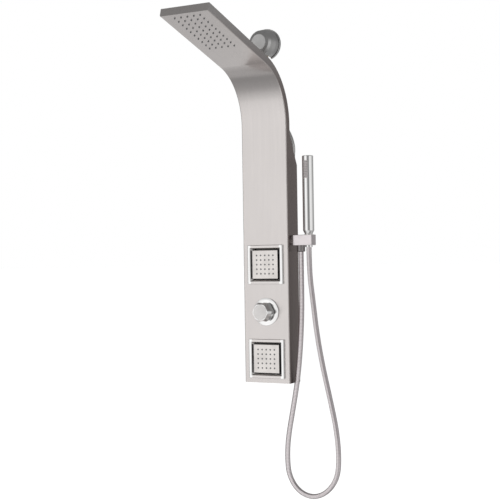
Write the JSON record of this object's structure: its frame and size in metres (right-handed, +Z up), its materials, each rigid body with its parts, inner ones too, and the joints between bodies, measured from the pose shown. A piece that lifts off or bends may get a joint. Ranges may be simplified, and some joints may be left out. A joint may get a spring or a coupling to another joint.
{
  "type": "shower panel column",
  "caption": "Wall-hung stainless shower column that bends forward into a rain head, with swivelling square body jets, a lobed diverter knob and a stick hand shower on a metal hose.",
  "frame": {"origin": "on the wall plane, midway between the two screw holes of the upper wall bracket", "axes": "+X to the right of a person facing the column, +Y into the wall, +Z up; the column faces -Y"},
  "size_m": [0.2872, 0.5074, 1.3493],
  "materials": {
    "shell": "satin brushed stainless sheet, grain along the column",
    "chrome_trim": "polished chrome plating",
    "jet_metal": "satin plated jet plate",
    "hose_metal": "bright wound metal hose",
    "brass_fittings": "machined raw brass",
    "zinc_steel": "dull zinc-plated steel",
    "clip_steel": "plain crimped clip",
    "dark_plastic": "moulded, fine grain",
    "pale_plastic": "smooth low-friction plastic",
    "ceramic": "lapped ceramic",
    "silicone": "soft matte silicone",
    "spray_plate": "smooth grey plastic",
    "pipe_plastic": "translucent white water pipe",
    "seal_rubber": "matte seal rubber"
  },
  "bodies": {
    "column": {"back_cover": "shell", "cartridge_nut": "brass_fittings", "cover_screws": "zinc_steel", "diverter_body": "brass_fittings", "diverter_cartridge": "dark_plastic", "diverter_fixed_disc": "ceramic", "flange_gasket": "seal_rubber", "front_shell": "shell", "hanger_bar": "zinc_steel", "holder_block": "chrome_trim", "holder_insert": "pale_plastic", "hose_outlet_nut": "chrome_trim", "hose_outlet_washer": "seal_rubber", "knob_flange": "chrome_trim", "lower_bracket_screw": "zinc_steel", "lower_jet_cup": "dark_plastic", "lower_jet_frame": "chrome_trim", "lower_jet_pipe": "pipe_plastic", "lower_jet_retaining_ring": "dark_plastic", "lower_wall_bracket": "zinc_steel", "mounting_nut": "chrome_trim", "outlet_elbow": "brass_fittings", "outlet_spacer": "chrome_trim", "pipe_clips": "clip_steel", "rain_chamber": "dark_plastic", "rain_feed_pipe": "pipe_plastic", "rain_nozzle_mat": "silicone", "shower_hose": "hose_metal", "stud_nuts": "zinc_steel", "supply_hose": "hose_metal", "supply_lower_nut": "brass_fittings", "supply_upper_nut": "brass_fittings", "supply_washers": "seal_rubber", "upper_jet_cup": "dark_plastic", "upper_jet_frame": "chrome_trim", "upper_jet_pipe": "pipe_plastic", "upper_jet_retaining_ring": "dark_plastic", "upper_wall_bracket": "zinc_steel", "wall_elbow": "brass_fittings", "wall_flange": "chrome_trim", "wand_feed_pipe": "pipe_plastic"},
    "diverter_handle": {"diverter_knob": "chrome_trim", "knob_cap": "chrome_trim", "knob_grub_screw": "zinc_steel", "diverter_spindle": "brass_fittings", "diverter_moving_disc": "ceramic"},
    "upper_jet_ball_ring": {"upper_jet_ball_liner": "pale_plastic"},
    "upper_jet_head": {"upper_jet_swivel": "dark_plastic", "upper_jet_face": "jet_metal", "upper_jet_nozzle_mat": "silicone"},
    "lower_jet_ball_ring": {"lower_jet_ball_liner": "pale_plastic"},
    "lower_jet_head": {"lower_jet_swivel": "dark_plastic", "lower_jet_face": "jet_metal", "lower_jet_nozzle_mat": "silicone"},
    "hose_end": {"hose_wand_nut": "chrome_trim"},
    "hand_shower": {"wand_body": "chrome_trim", "wand_spray_plate": "spray_plate", "wand_spray_tips": "silicone"}
  },
  "joints": [
    {"name": "diverter_turn", "type": "hinge", "parent": "column", "child": "diverter_handle", "pos_m": [0, -0.066, -0.373], "axis": [0, -1, 0], "continuous": true},
    {"name": "upper_jet_pan", "type": "hinge", "parent": "column", "child": "upper_jet_ball_ring", "pos_m": [0, -0.047, -0.238], "axis": [0, 0, 1], "range_deg": [-10, 10]},
    {"name": "upper_jet_tilt", "type": "hinge", "parent": "upper_jet_ball_ring", "child": "upper_jet_head", "pos_m": [0, -0.047, -0.238], "axis": [1, 0, 0], "range_deg": [-10, 10]},
    {"name": "lower_jet_pan", "type": "hinge", "parent": "column", "child": "lower_jet_ball_ring", "pos_m": [0, -0.047, -0.507], "axis": [0, 0, 1], "range_deg": [-10, 10]},
    {"name": "lower_jet_tilt", "type": "hinge", "parent": "lower_jet_ball_ring", "child": "lower_jet_head", "pos_m": [0, -0.047, -0.507], "axis": [1, 0, 0], "range_deg": [-10, 10]},
    {"name": "wand_lift", "type": "slide", "parent": "column", "child": "hose_end", "axis": [0, 0, 1], "range_m": [0, 0.08]},
    {"name": "wand_swivel", "type": "hinge", "parent": "hose_end", "child": "hand_shower", "pos_m": [0.122, -0.033, -0.153], "axis": [0, 0, 1], "continuous": true}
  ]
}
